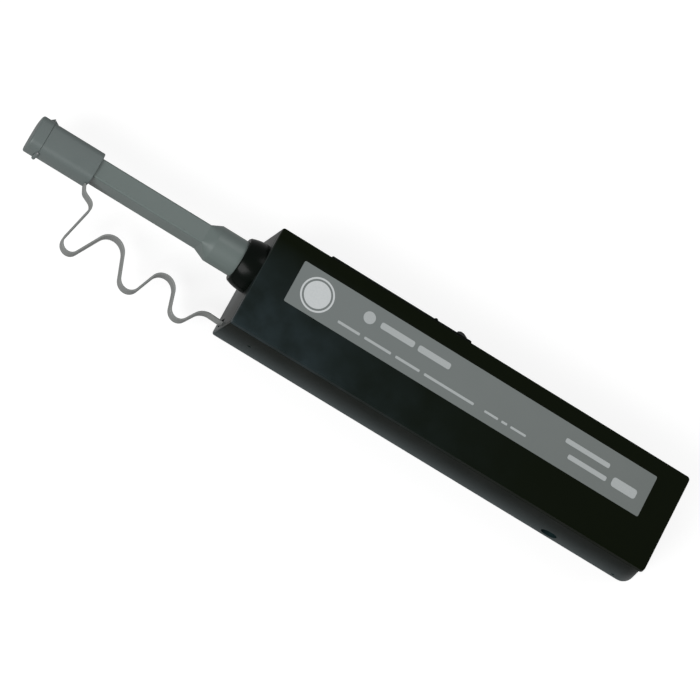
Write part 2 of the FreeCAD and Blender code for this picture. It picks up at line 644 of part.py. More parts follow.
def make_nozzle_spring():
    start = behind(TAIL_END)
    length = BLOCK_START - TAIL_END
    return coil(SPRING_R, SPRING_WIRE, length, SPRING_TURNS, V(start, NOZZLE_Y, NOZZLE_Z), X_AXIS)


# ---- tape path -------------------------------------------------------------------------------------
def tape_ring(radius):
    return radius + TAPE_GAP + TAPE_THICK / 2


def roller_circles():
    """Corner, feed and run rollers in the order that fresh tape meets them."""
    feed_y = NOZZLE_Y - TAPE_LINE - tape_ring(FEED_ROLLER_R)
    run_y = NOZZLE_Y + TAPE_LINE - tape_ring(RUN_ROLLER_R)
    run_x = behind(BLOCK_START + BLOCK_LENGTH) + RUN_ROLLER_R + ROLLER_GAP
    feed_x = behind(TAKEUP_X) - PITCH_R - MODULE - ROLLER_FOOT_R - ROLLER_GAP
    corner_x = feed_x + CORNER_ROLLER_R + FEED_ROLLER_R + 0.8
    return [(corner_x, -SIDE + WALL + 1.5 + CORNER_ROLLER_R, CORNER_ROLLER_R, -1),
            (feed_x, feed_y, FEED_ROLLER_R, 1),
            (run_x, run_y, RUN_ROLLER_R, -1)]


def make_tape():
    """One band of tape from the supply roll, round the head, to the take-up roll."""
    corner, feed, run = [(x, y, tape_ring(r), s) for x, y, r, s in roller_circles()]
    nose = (behind(-HEAD_NOSE) + STEM_Y / 2, NOZZLE_Y, TAPE_LINE, -1)
    supply = (behind(SUPPLY_X), SUPPLY_Y, tape_ring(SUPPLY_ROLL_R), -1)
    takeup = (behind(TAKEUP_X), TAKEUP_Y, tape_ring(TAKEUP_ROLL_R), 1)
    start = tangent_line(supply, corner)[0]
    end = tangent_line(run, takeup)[1]
    return strip([corner, feed, nose, run], TAPE_THICK, TAPE_TOP_Z - TAPE_WIDTH, TAPE_TOP_Z,
                 start, end)


def make_roller(place):
    x, y, radius, turn = place
    low = NOZZLE_Z - TAPE_WIDTH / 2 - 0.2
    barrel = tube(V(x, y, low), radius, ROLLER_PIN_R + BORE_CLEAR, TAPE_WIDTH + 0.4)
    foot = tube(V(x, y, GEAR_Z - 0.5), ROLLER_FOOT_R, ROLLER_PIN_R + BORE_CLEAR,
                low - GEAR_Z + 0.51)
    return fuse(barrel, foot)


def make_roller_pins():
    pins = [cylinder(V(x, y, WALL - 1), ROLLER_PIN_R, TAPE_TOP_Z + 0.6 - WALL + 1)
            for x, y, radius, turn in roller_circles()]
    return Part.makeCompound(pins)


# ---- reels and drive ---------------------------------------------------------------------------------
def make_reel(x, y, flange_r, toothed):
    """Reel with two flanges, a hub and three windows in each flange."""
    low = REEL_Z
    hub = cylinder(V(x, y, low), REEL_HUB_R, REEL_TOP - low)
    plates = []
    for z in (low, REEL_TOP - FLANGE_PLATE):
        plate = cylinder(V(x, y, z), flange_r, FLANGE_PLATE)
        if toothed and z == low:
            plate = ratchet_plate(x, y, z, flange_r)
        plates.append(plate)
    reel = fuse(hub, *plates)
    ring = (REEL_HUB_R + flange_r) / 2 + 0.6
    hole = (flange_r - REEL_HUB_R) * 0.24
    for number in range(3):
        angle = math.radians(120 * number + 30)
        window = cylinder(V(x + ring * math.cos(angle), y + ring * math.sin(angle),
                            REEL_TOP - FLANGE_PLATE - 0.5), hole, FLANGE_PLATE + 1)
        reel = reel.cut(window)
    if toothed:
        stub = cylinder(V(x, y, GEAR_Z + GEAR_THICK + 1.1), CLUTCH_HUB_R,
                        low - GEAR_Z - GEAR_THICK - 1.1 + 0.01)
        reel = fuse(reel, stub)
    return reel.cut(cylinder(V(x, y, 0), SHAFT_R + BORE_CLEAR, BODY_DEPTH))


def ratchet_plate(x, y, z, radius):
    """Flange whose rim is cut into one-way teeth."""
    points = []
    step = 2 * math.pi / RATCHET_TEETH
    for number in range(RATCHET_TEETH):
        for part, reach in ((0.0, radius), (0.85, radius - RATCHET_DEPTH)):
            angle = step * (number + part)
            points.append((x + reach * math.cos(angle), y + reach * math.sin(angle)))
    return flat_plate(points, z, z + FLANGE_PLATE)


def make_roll(x, y, outer):
    z0 = REEL_Z + FLANGE_PLATE + 0.1
    return tube(V(x, y, z0), outer, REEL_HUB_R, REEL_TOP - FLANGE_PLATE - 0.1 - z0)


def make_shaft(x, y):
    shaft = cylinder(V(x, y, WALL - 1), SHAFT_R, CEILING - 0.2 - WALL + 1)
    return shaft.makeChamfer(0.3, rim_edges(shaft, CEILING - 0.2))


def involute(base_r, radius):
    roll = math.sqrt((radius / base_r) ** 2 - 1)
    return roll - math.atan(roll)


def gear_outline(teeth, module, backlash):
    """Involute gear outline, one tooth centred on +Y."""
    pitch_r = module * teeth / 2
    base_r = pitch_r * math.cos(math.radians(PRESSURE_ANGLE))
    outer_r = pitch_r + module
    root_r = pitch_r - ROOT_DEPTH
    half = (math.pi * module / 2 - backlash) / 2 / pitch_r + involute(base_r, pitch_r)
    start_r = max(base_r, root_r) + 0.001
    flank = []
    for step in range(5):
        radius = start_r + (outer_r - start_r) * step / 4
        flank.append((radius, half - involute(base_r, radius)))
    points = []
    for number in range(teeth):
        centre = math.pi / 2 + 2 * math.pi * number / teeth
        right = [(root_r, -flank[0][1] - 0.01)] + [(r, -a) for r, a in flank]
        left = [(r, a) for r, a in reversed(flank)] + [(root_r, flank[0][1] + 0.01)]
        for radius, angle in right + left:
            points.append((radius * math.cos(centre + angle), radius * math.sin(centre + angle)))
    return points


def make_drive_gear():
    """Spur gear under the take-up reel, with the lower hub of the wrap-spring clutch."""
    x, y = behind(TAKEUP_X), TAKEUP_Y
    outline = [(x + px, y + py) for px, py in gear_outline(GEAR_TEETH, MODULE, BACKLASH)]
    gear = flat_plate(outline, GEAR_Z, GEAR_Z + GEAR_THICK)
    groove = tube(V(x, y, GEAR_Z + GEAR_THICK - 1.2), PITCH_R - 2.6, CLUTCH_HUB_R + 1.6, 2)
    hub = cylinder(V(x, y, GEAR_Z + GEAR_THICK - 0.01), CLUTCH_HUB_R, 1.0)
    gear = fuse(gear.cut(groove), hub)
    return gear.cut(cylinder(V(x, y, 0), SHAFT_R + BORE_CLEAR, BODY_DEPTH))


def make_clutch_spring():
    x, y = behind(TAKEUP_X), TAKEUP_Y
    base = GEAR_Z + GEAR_THICK + 0.1
    radius = CLUTCH_HUB_R + CLUTCH_WIRE / 2 + 0.04
    return coil(radius, CLUTCH_WIRE, REEL_Z - 0.1 - base, CLUTCH_TURNS, V(x, y, base), Z_AXIS)


def make_slide_rack():
    """Rack along the side wall with a web that carries the knob."""
    back_y = RACK_BACK_Y
    x0 = behind(TAKEUP_X) - RACK_OVERRUN
    x1 = behind(TAKEUP_X) + SLIDE_STROKE + RACK_OVERRUN
    z0 = RACK_Z
    pitch = math.pi * MODULE
    lean = math.tan(math.radians(PRESSURE_ANGLE))
    half = (pitch / 2 - BACKLASH) / 2
    tip_y = RACK_PITCH_Y - MODULE
    root_y = RACK_PITCH_Y + ROOT_DEPTH
    points = [(x0, root_y)]
    first = math.ceil((x0 + half + 1.0 - behind(TAKEUP_X)) / pitch - 0.5)
    last = math.floor((x1 - half - 1.0 - behind(TAKEUP_X)) / pitch - 0.5)
    for number in range(first, last + 1):
        centre = behind(TAKEUP_X) + (number + 0.5) * pitch
        wide = half + ROOT_DEPTH * lean
        narrow = half - MODULE * lean
        points += [(centre - wide, root_y), (centre - narrow, tip_y),
                   (centre + narrow, tip_y), (centre + wide, root_y)]
    points += [(x1, root_y), (x1, back_y), (x0, back_y)]
    rack = flat_plate(points, z0, z0 + RACK_HEIGHT)
    knob_x = behind(KNOB_REST)
    web = box(knob_x - WEB_LENGTH / 2, knob_x + WEB_LENGTH / 2, back_y - WEB_THICK, back_y,
              RACK_TOP - 1, NOZZLE_Z + SLOT_WIDTH / 2 + 1.1)
    slide = fuse(rack, web)
    socket = box(knob_x - NECK_LENGTH / 2, knob_x + NECK_LENGTH / 2, back_y - WEB_THICK - 1,
                 back_y + 1, NOZZLE_Z - SLOT_WIDTH / 2 + SLOT_CLEAR,
                 NOZZLE_Z + SLOT_WIDTH / 2 - SLOT_CLEAR)
    return slide.cut(socket)


def make_thumb_knob():
    """Ridged thumb knob outside the track, with a neck through the slot."""
    knob_x = behind(KNOB_REST)
    foot_y = SIDE + TRACK_HEIGHT + KNOB_GAP
    top_y = foot_y + KNOB_HEIGHT
    half = KNOB_LENGTH / 2
    points = [(knob_x - half, foot_y), (knob_x + half, foot_y), (knob_x + half - 0.2, foot_y + 0.35),
              (knob_x + 0.3, top_y - 0.1), (knob_x - 0.6, top_y), (knob_x - half + 0.3, top_y - 0.35)]
    pad = flat_plate(points, NOZZLE_Z - KNOB_WIDTH / 2, NOZZLE_Z + KNOB_WIDTH / 2)
    neck = box(knob_x - NECK_LENGTH / 2, knob_x + NECK_LENGTH / 2,
               RACK_BACK_Y - WEB_THICK, foot_y + 0.01,
               NOZZLE_Z - SLOT_WIDTH / 2 + SLOT_CLEAR, NOZZLE_Z + SLOT_WIDTH / 2 - SLOT_CLEAR)
    return fuse(pad, neck)


def return_line():
    """Y and Z of the return spring, over the rack and behind its web."""
    return RACK_BACK_Y - WEB_THICK / 2, RACK_TOP + RETURN_SPRING_R + RETURN_WIRE / 2 + 0.1


def return_peg():
    """Peg on the side wall that holds the rear end of the return spring."""
    y, z = return_line()
    x = behind(RETURN_END)
    return box(x, x + RETURN_PEG, y - RETURN_SPRING_R, SIDE - WALL + 0.5, z - RETURN_SPRING_R,
               z + RETURN_SPRING_R)


def make_return_spring():
    """Tension spring from the web of the slide to the peg."""
    start = V(behind(RETURN_END) - RETURN_LENGTH, *return_line())
    return coil(RETURN_SPRING_R, RETURN_WIRE, RETURN_LENGTH, RETURN_TURNS, start, X_AXIS)


# ---- leaf springs on the reels -----------------------------------------------------------------------
def leaf(post, tip, tooth, z0, height, thick=0.4):
    """Flat leaf from a ring on its post to a small nose at the tip."""
    ring = tube(V(post[0], post[1], z0), 1.7, 0.9, height)
    dx, dy = tip[0] - post[0], tip[1] - post[1]
    span = math.hypot(dx, dy)
    ux, uy = dx / span, dy / span
    side = (-uy * thick / 2, ux * thick / 2)
    start = (post[0] + ux * 1.4, post[1] + uy * 1.4)
    blade = flat_plate([(start[0] + side[0], start[1] + side[1]), (start[0] - side[0], start[1] - side[1]),
                        (tip[0] - side[0], tip[1] - side[1]), (tip[0] + side[0], tip[1] + side[1])],
                       z0, z0 + height)
    nose = cylinder(V(tip[0], tip[1], z0), tooth, height)
    return fuse(ring, blade, nose)


def rim_contact(x, y, radius, angle, gap, nose):
    reach = radius + gap + nose
    return (x + reach * math.cos(math.radians(angle)), y + reach * math.sin(math.radians(angle)))


def make_click_pawl():
    tip = rim_contact(behind(TAKEUP_X), TAKEUP_Y, TAKEUP_FLANGE_R, -15, 0.05, 0.35)
    return leaf(PAWL_POST, tip, 0.35, REEL_Z - 0.1, FLANGE_PLATE + 0.2)


def make_drag_spring():
    tip = rim_contact(behind(SUPPLY_X), SUPPLY_Y, SUPPLY_FLANGE_R, -5, 0.05, 0.4)
    return leaf(DRAG_POST, tip, 0.4, REEL_Z - 0.1, FLANGE_PLATE + 0.2)


# ---- cap, lid and tether ------------------------------------------------------------------------------
def hinge_line():
    """X and Y of the lid hinge, on the -Y side of the joint between cap and lid."""
    return behind(-CAP_FRONT - LID_GAP / 2), NOZZLE_Y - CAP_Y / 2 - HINGE_OFFSET


def hinge_barrel(radius, width, offset=0.0):
    x, y = hinge_line()
    return cylinder(V(x, y, NOZZLE_Z + offset - width / 2), radius, width)


def ear_places():
    return [sign * (KNUCKLE_WIDTH / 2 + HINGE_CLEAR + EAR_WIDTH / 2) for sign in (-1, 1)]


def make_cap():
    """Moulded sleeve over the nozzle tip, with a catch and the middle hinge knuckle."""
    x0, x1 = behind(-CAP_FRONT), behind(-CAP_REAR)
    cap = crowned_bar(x0, x1, CAP_Y, CAP_Z, CAP_CROWN, CAP_ROUND)
    cap = cap.makeFillet(0.35, end_edges(cap, x1))
    top = NOZZLE_Y + CAP_Y / 2
    catch = flat_plate([(x0, top - 0.5), (x0 + CATCH_RUN, top - 0.5), (x0 + CATCH_RUN, top - 0.05),
                        (x0, top + CATCH_REACH)], NOZZLE_Z - TAB_WIDTH / 2, NOZZLE_Z + TAB_WIDTH / 2)
    cap = fuse(cap, catch)
    cap = cap.cut(round_bar(x0 - 1, x1 + 1, SHAFT_Y + 2 * CAP_CLEAR, SHAFT_Z + 2 * CAP_CLEAR,
                            SHAFT_EDGE))
    for place in ear_places():
        cap = cap.cut(hinge_barrel(HINGE_R + 0.12, EAR_WIDTH + 2 * HINGE_CLEAR, place))
    cap = fuse(cap, hinge_barrel(HINGE_R, KNUCKLE_WIDTH))
    return cap.cut(hinge_barrel(HINGE_PIN_R, CAP_Z))


def make_cap_lid():
    """Hinged dust lid over the mouth of the cap, with a finger tab on the +Y side."""
    x0, x1 = behind(-LID_FRONT), behind(-CAP_FRONT - LID_GAP)
    lid = crowned_bar(x0, x1, CAP_Y + 2 * LID_RIM, CAP_Z + 2 * LID_RIM, CAP_CROWN, CAP_ROUND)
    lid = lid.makeFillet(0.7, end_edges(lid, x0))
    top = NOZZLE_Y + CAP_Y / 2
    tab = flat_plate([(x1, top - 0.5), (x1, top + TAB_REACH), (x1 - 0.3, top + TAB_REACH),
                      (x1 - TAB_RUN, top + LID_RIM - 0.05), (x1 - TAB_RUN, top - 0.5)],
                     NOZZLE_Z - TAB_WIDTH / 2, NOZZLE_Z + TAB_WIDTH / 2)
    lid = fuse(lid, tab)
    lid = lid.cut(round_bar(x0 + LID_WALL, x1 + 1, LID_ROOM_Y, LID_ROOM_Z, 1.2))
    below = NOZZLE_Y - CAP_Y / 2
    lid = lid.cut(box(x0 - 1, x1 + 1, below - CAP_Y, below, NOZZLE_Z - CAP_Z, NOZZLE_Z + CAP_Z))
    lid = lid.cut(hinge_barrel(HINGE_R + 0.12, KNUCKLE_WIDTH + 2 * HINGE_CLEAR))
    ears = [hinge_barrel(HINGE_R, EAR_WIDTH, place) for place in ear_places()]
    lid = fuse(lid, *ears)
    return lid.cut(hinge_barrel(HINGE_PIN_R + HINGE_CLEAR, CAP_Z))


def make_lid_pin():
    return hinge_barrel(HINGE_PIN_R, KNUCKLE_WIDTH + 2 * EAR_WIDTH)


def strap_tilt():
    return math.atan2(NOZZLE_Z - STRAP_END_Z, CAP_REAR + STRAP_GRIP)


def strap_end_y():
    return -SIDE + STRAP_END_SIDE


def strap_slot():
    """Slit in the front wall for the end of the strap."""
    half = STRAP_WIDTH / 2 + 0.35
    slit = box(behind(-1), behind(WALL + 0.5), strap_end_y() - STRAP_SLOT / 2,
               strap_end_y() + STRAP_SLOT / 2, STRAP_END_Z - half, STRAP_END_Z + half)
    along = [e for e in slit.Edges if abs(e.tangentAt(e.FirstParameter).x) > 0.99]
    return slit.makeFillet(STRAP_SLOT / 2 - 0.3, along)


def make_tether_strap():
    """Moulded wave of flat ribbon from the cap to a slit in the front wall."""
    tilt = strap_tilt()
    stretch = 1 / math.cos(tilt)
    share = CAP_REAR / STRAP_RUN
    lobes = [(-distance * share * stretch, height - SIDE, radius * share, turn)
             for distance, height, radius, turn in STRAP_LOBES]
    end_r = STRAP_END_LOBE_R * share
    lobes.append((-STRAP_END_RUN * share * stretch, strap_end_y() - end_r, end_r, -1))
    start = (-(CAP_REAR + STRAP_GRIP + 0.6) * stretch, NOZZLE_Y - CAP_Y / 2 + 0.6)
    end = (WALL + 0.6, strap_end_y())
    half = STRAP_WIDTH / 2
    band = strip(lobes, STRAP_THICK, -half, half, start, end)
    head_y = -SIDE + WALL + 0.1
    head = box(WALL + 0.5, WALL + 1.7, head_y, head_y + T_HEAD, -half, half)
    strap = band.fuse(head)
    strap.rotate(V(0, 0, 0), Y_AXIS, math.degrees(tilt))
    strap.translate(V(FRONT, 0, STRAP_END_Z))
    envelope = crowned_bar(behind(-CAP_FRONT), behind(-CAP_REAR), CAP_Y + 0.04, CAP_Z + 0.04,
                           CAP_CROWN, CAP_ROUND)
    return strap.cut(envelope).removeSplitter()


# ---- screws --------------------------------------------------------------------------------
def make_case_screws():
    """Four identical countersunk-in screws from the back into the cover posts."""
    screws = []
    for x, y in screw_places():
        head = cylinder(V(x, y, 0.2), SCREW_HEAD_R, SCREW_HEAD)
        cross = [box(x - a, x + a, y - b, y + b, 0, 0.9) for a, b in ((1.1, 0.25), (0.25, 1.1))]
        shank = cylinder(V(x, y, SCREW_HEAD + 0.1), SCREW_SHANK_R, SCREW_REACH - SCREW_HEAD)
        screws.append(fuse(head, shank).cut(fuse(*cross)))
    return Part.makeCompound(screws)


ROLLER_NAMES = ("corner_roller", "feed_roller", "run_roller")


def build():
    takeup = (behind(TAKEUP_X), TAKEUP_Y)
    supply = (behind(SUPPLY_X), SUPPLY_Y)
    parts = {
        "rear_shell": make_rear_shell(),
        "front_cover": make_front_cover(),
        "label": make_label(),
        "nozzle_collar": make_collar(),
        "nozzle": make_nozzle(),
        "nozzle_spring": make_nozzle_spring(),
        "tape_stem": make_stem(),
        "stem_block": make_stem_block(),
        "cleaning_head": make_head(),
        "head_spring": make_head_spring(),
        "cleaning_tape": make_tape(),
        "roller_pins": make_roller_pins(),
        "takeup_reel": make_reel(*takeup, TAKEUP_FLANGE_R, True),
        "takeup_roll": make_roll(*takeup, TAKEUP_ROLL_R),
        "supply_reel": make_reel(*supply, SUPPLY_FLANGE_R, False),
        "supply_roll": make_roll(*supply, SUPPLY_ROLL_R),
        "takeup_shaft": make_shaft(*takeup),
        "supply_shaft": make_shaft(*supply),
        "drive_gear": make_drive_gear(),
        "clutch_spring": make_clutch_spring(),
        "slide_rack": make_slide_rack(),
        "thumb_knob": make_thumb_knob(),
        "return_spring": make_return_spring(),
        "click_pawl": make_click_pawl(),
        "drag_spring": make_drag_spring(),
        "cap": make_cap(),
        "cap_lid": make_cap_lid(),
        "lid_pin": make_lid_pin(),
        "tether_strap": make_tether_strap(),
        "case_screws": make_case_screws(),
    }
    for name, place in zip(ROLLER_NAMES, roller_circles()):
        parts[name] = make_roller(place)
    return parts


os.makedirs("parts", exist_ok=True)
for node, shape in build().items():
    solids = shape.Solids
    print(f"{node:16s} solids {len(solids)} valid {shape.isValid()} volume {shape.Volume:.1f}")
    shape.exportStep(f"parts/{node}.step")
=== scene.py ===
# %% [markdown]
# # A fibre connector cleaning pen
# This pen wipes the end faces of multi-fibre connectors. Pushing the knob on its side feeds
# fresh tape round a small head at the tip of the grey nozzle. A cap on a wavy strap keeps dust
# off the tip. The solids come from CAD and stay where they are. This script gives them their
# finishes, adds the small pieces that a solid model leaves out, and sets up the studio.

# %% Load the CAD frame
import math

import bmesh
import bpy
from mathutils import Matrix, Vector


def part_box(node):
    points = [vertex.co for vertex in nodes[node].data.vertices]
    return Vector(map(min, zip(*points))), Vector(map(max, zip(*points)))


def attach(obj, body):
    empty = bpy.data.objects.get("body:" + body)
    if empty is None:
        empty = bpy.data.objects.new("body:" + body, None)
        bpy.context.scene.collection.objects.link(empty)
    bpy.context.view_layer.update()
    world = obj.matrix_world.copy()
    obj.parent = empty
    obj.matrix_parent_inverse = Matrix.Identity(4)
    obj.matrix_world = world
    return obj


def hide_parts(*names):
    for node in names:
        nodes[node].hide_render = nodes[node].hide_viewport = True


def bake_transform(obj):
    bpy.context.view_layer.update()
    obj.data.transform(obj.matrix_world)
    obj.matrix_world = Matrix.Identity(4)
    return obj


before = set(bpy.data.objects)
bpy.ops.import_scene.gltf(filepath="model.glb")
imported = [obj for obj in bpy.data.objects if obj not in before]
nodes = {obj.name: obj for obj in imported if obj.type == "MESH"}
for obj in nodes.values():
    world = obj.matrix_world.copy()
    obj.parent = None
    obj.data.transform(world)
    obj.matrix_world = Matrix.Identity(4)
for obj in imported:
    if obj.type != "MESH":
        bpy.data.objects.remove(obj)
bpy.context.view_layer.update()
print("CAD nodes:", len(nodes))

MM = 0.001

# %% [markdown]
# ## The camera
# A long lens from well above the pen keeps its edges nearly parallel. The camera is placed by
# where it stands, where it looks and which way is up. A matrix made from those three
# directions says the same as three angles, but each of its columns can be read on its own:
# right, up and backwards.

# %% Camera
CAMERA_PLACE = Vector((-209.57, -277.23, 940.31)) * MM
CAMERA_LOOK = Vector((0.17468, 0.28023, -0.94390)).normalized()
CAMERA_UP = Vector((-0.51340, 0.84394, 0.15554)).normalized()
LENS = 171.53
SENSOR = 36.0


def place_camera():
    data = bpy.data.cameras.new("camera")
    data.lens = LENS
    data.sensor_width = SENSOR
    data.clip_end = 10.0
    camera = bpy.data.objects.new("camera", data)
    right = CAMERA_LOOK.cross(CAMERA_UP)
    turn = Matrix((right, CAMERA_UP, -CAMERA_LOOK)).transposed().to_4x4()
    camera.matrix_world = Matrix.Translation(CAMERA_PLACE) @ turn
    bpy.context.scene.collection.objects.link(camera)
    bpy.context.scene.camera = camera
    return camera


camera = place_camera()
print("camera distance in mm:", round(camera.location.length / MM))

# %% [markdown]
# ## Sums on sockets
# A procedural material is a sum written in nodes. Adding each Math node by hand hides the sum,
# so a small class wraps a socket and teaches it +, - and *. The expression `1 - mask * 0.5`
# then adds its own nodes. Colours go through Mix nodes, because a Math node would turn them
# grey.


# %% Socket sums
class Link:
    """A node's output that can be used in a sum."""

    def __init__(self, finish, socket):
        self.finish = finish
        self.socket = socket

    def math(self, operation, *values):
        inputs = dict(enumerate(values))
        return self.finish.node("ShaderNodeMath", {"operation": operation}, inputs)

    def __add__(self, other):
        return self.math("ADD", self, other)

    def __sub__(self, other):
        return self.math("SUBTRACT", self, other)

    def __rsub__(self, other):
        return self.math("SUBTRACT", other, self)

    def __mul__(self, other):
        return self.math("MULTIPLY", self, other)

    def clamp(self):
        return self.finish.node("ShaderNodeClamp", {}, {0: self})

    __radd__ = __add__
    __rmul__ = __mul__


# %% [markdown]
# ## One class for every finish
# Each finish starts from a Principled surface. Numbers that are the same all over go straight
# onto its sockets. Patterns read Object coordinates, which are metres in the pen's own frame,
# because every piece sits at the origin. So a grain 0.4 mm across is a noise of scale 2500.


# %% Finish class
MIX_AMOUNT, MIX_FIRST, MIX_SECOND, MIX_RESULT = 0, 6, 7, 2  # a Mix node's sockets for colour


class Finish:
    """A procedural material built from a Principled surface."""

    def __init__(self, name, colour, roughness, **fixed):
        self.material = bpy.data.materials.new(name)
        self.material.use_nodes = True
        self.material.diffuse_color = (*colour, 1.0)
        self.tree = self.material.node_tree
        self.surface = self.tree.nodes["Principled BSDF"]
        self.paint(Base_Color=(*colour, 1.0), Roughness=roughness, **fixed)

    def set(self, node, values):
        for key, value in values.items():
            if isinstance(value, Link):
                self.tree.links.new(value.socket, node.inputs[key])
            else:
                node.inputs[key].default_value = value

    def node(self, kind, settings, values, out=0):
        """Add a node, with its settings and its inputs, and give back one of its outputs."""
        made = self.tree.nodes.new(kind)
        for key, value in settings.items():
            setattr(made, key, value)
        self.set(made, values)
        return Link(self, made.outputs[out])

    def place(self):
        return self.node("ShaderNodeTexCoord", {}, {}, "Object")

    def noise(self, size_mm, detail=3.0, stretch=None):
        """Noise from 0 to 1 whose lumps are about size_mm across."""
        where = self.place()
        if stretch:
            where = self.node("ShaderNodeMapping", {}, {"Vector": where, "Scale": stretch})
        values = {"Vector": where, "Scale": 1 / (size_mm * MM), "Detail": detail}
        return self.node("ShaderNodeTexNoise", {}, values)

    def mix(self, amount, first, second):
        """Colour mix; first and second are colours or links."""
        first, second = [c if isinstance(c, Link) else (*c, 1.0) for c in (first, second)]
        values = {MIX_AMOUNT: amount, MIX_FIRST: first, MIX_SECOND: second}
        return self.node("ShaderNodeMix", {"data_type": "RGBA"}, values, MIX_RESULT)

    def fade(self, axis, start_mm, end_mm):
        """0 where X, Y or Z (axis 0, 1 or 2) is start_mm, 1 where it is end_mm."""
        slope = 1 / ((end_mm - start_mm) * MM)
        place = self.node("ShaderNodeSeparateXYZ", {}, {0: self.place()}, axis)
        return (place * slope - start_mm * MM * slope).clamp()

    def bump(self, height, depth_mm, strength=1.0):
        values = {"Height": height, "Strength": strength, "Distance": depth_mm * MM}
        self.set(self.surface, {"Normal": self.node("ShaderNodeBump", {}, values)})

    def paint(self, **values):
        """Set or link the surface's own inputs, with _ for each space in their names."""
        self.set(self.surface, {key.replace("_", " "): value for key, value in values.items()})
        return self


# %% [markdown]
# ## Moulded plastic
# Nearly every plastic part here comes from a spark-eroded tool. That leaves a fine, even
# pebble of about a third of a millimetre, and hands leave it shinier in soft patches. A bump
# from two sizes of noise makes the pebble, and a slow noise moves the roughness. The helper
# takes the size and depth of the pebble, so one recipe serves the black, grey and white parts.


# %% Moulded plastic
def moulded(name, colour, roughness, tint, grain_mm=0.35, depth_mm=0.012, patch=0.10, **fixed):
    """Pebbled plastic that is worn and tinted in soft patches patch deep in roughness."""
    finish = Finish(name, colour, roughness, **fixed)
    grain = finish.noise(grain_mm, 2.0) * 0.7 + finish.noise(grain_mm * 2.6, 2.0) * 0.3
    finish.bump(grain, depth_mm, 0.6)
    handled = finish.noise(14.0, 3.0)
    scuff = finish.noise(2.2, 4.0)
    wear = (handled - 0.5) * 2 * patch + (scuff - 0.5) * patch
    finish.paint(Roughness=(wear + roughness).clamp())
    finish.tone = finish.mix((handled * 0.6 + scuff * 0.4).clamp(), colour, tint)
    finish.paint(Base_Color=finish.tone)
    return finish


# %% [markdown]
# ## Black housing
# The black is deep and nearly matt, so its specular level is low and the pebble scatters what
# is left. Two things break it up. A pale, faintly blue painted sheen sits in the cover's colour
# in the corner next to the strap, and it fades in soft patches along the pen and across it. The
# sides are glossier low down, where they rub in a pouch, and so is the front end face, which
# the tool's insert left polished. A coat over the plastic, stronger where the shell is low or
# at the very front, gives that gloss. Low down, the sides' colour also takes a painted teal
# sheen.

# %% Housing black
shell_low, shell_high = [Vector(corner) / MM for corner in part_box("rear_shell")]
cover_low, cover_high = [Vector(corner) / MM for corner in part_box("front_cover")]
OLIVE_BLACK = (0.0030, 0.0046, 0.0018)
OLIVE_RUBBED = (0.0046, 0.0066, 0.0030)
# painted sheen: the pale blue reflection colour for the cover's front corner
PAINTED_BLUE_SHEEN = (0.026, 0.038, 0.043)
SIDE_BLACK = (0.0034, 0.0052, 0.0034)
SIDE_RUBBED = (0.0055, 0.0078, 0.0060)
# painted sheen: the pale teal reflection colour for the sides low down
PAINTED_SIDE_SHEEN = (0.011, 0.030, 0.034)
DEEP_BLACK_SPECULAR = 0.015
POLISHED_FROM = 0.35  # the polish of the end face starts this far behind it, in mm
POLISHED_TO = 0.2

cover_black = moulded("cover_black", OLIVE_BLACK, 0.44, OLIVE_RUBBED,
                      Specular_IOR_Level=DEEP_BLACK_SPECULAR, Coat_Roughness=0.30)
# Painted sheen: pale blue is painted into the cover's colour, strongest at the front corner by
# the strap, and it fades in patches to the rear and across.
from_rear = cover_black.fade(0, cover_high.x, cover_low.x)
from_slide = cover_black.fade(1, cover_high.y - 3.0, cover_low.y)
sheen_patches = cover_black.noise(11.0, 4.0) * 2.2 - 0.25
painted_sheen = (from_rear * from_rear * from_rear * from_slide * sheen_patches).clamp()
cover_end = cover_black.fade(0, cover_low.x + POLISHED_FROM, cover_low.x + POLISHED_TO)
cover_black.paint(Base_Color=cover_black.mix(painted_sheen, cover_black.tone, PAINTED_BLUE_SHEEN),
                  Coat_Weight=cover_end * 0.62)

housing_black = moulded("housing_black", SIDE_BLACK, 0.42, SIDE_RUBBED,
                        Specular_IOR_Level=DEEP_BLACK_SPECULAR, Coat_Roughness=0.32)
down = housing_black.fade(2, shell_high.z - 0.7, shell_low.z)
shell_end = housing_black.fade(0, shell_low.x + POLISHED_FROM, shell_low.x + POLISHED_TO)
pouch_rub = down * down * (housing_black.noise(9.0, 3.0) * 0.3 + 0.85)
# Painted sheen: the sides' colour turns pale teal towards the bottom edge, standing in for
# reflected light.
housing_black.paint(
    Base_Color=housing_black.mix(down * down * 0.8, housing_black.tone, PAINTED_SIDE_SHEEN),
    Coat_Weight=(pouch_rub * 0.72 + shell_end * 0.72).clamp())
knob_black = moulded("knob_black", (0.0034, 0.0046, 0.0032), 0.36, (0.00459, 0.00621, 0.00432),
                     grain_mm=0.25, depth_mm=0.008, Specular_IOR_Level=0.25)

# %% [markdown]
# ## Collar
# The collar is turned or moulded with a polished face, so it shows one soft highlight on its
# domed edge. Its roughness is low and its noise is slow. Fine rings around its axis would show
# only on a turned one, so they are left out.

# %% Collar gloss
collar_black = moulded("collar_black", (0.0016, 0.0028, 0.0020), 0.22, (0.00216, 0.00378, 0.0027),
                       grain_mm=1.2, depth_mm=0.003, patch=0.06, Specular_IOR_Level=0.08)

# %% [markdown]
# ## Grey nozzle and cap plastic
# The nozzle is a stiff satin grey with a green cast. The cap and the strap are softer plastic,
# a little rougher, and rubbed paler where fingers hold them. Faint drag lines run along the
# nozzle, where it slides in the cap: noise stretched along X makes them.

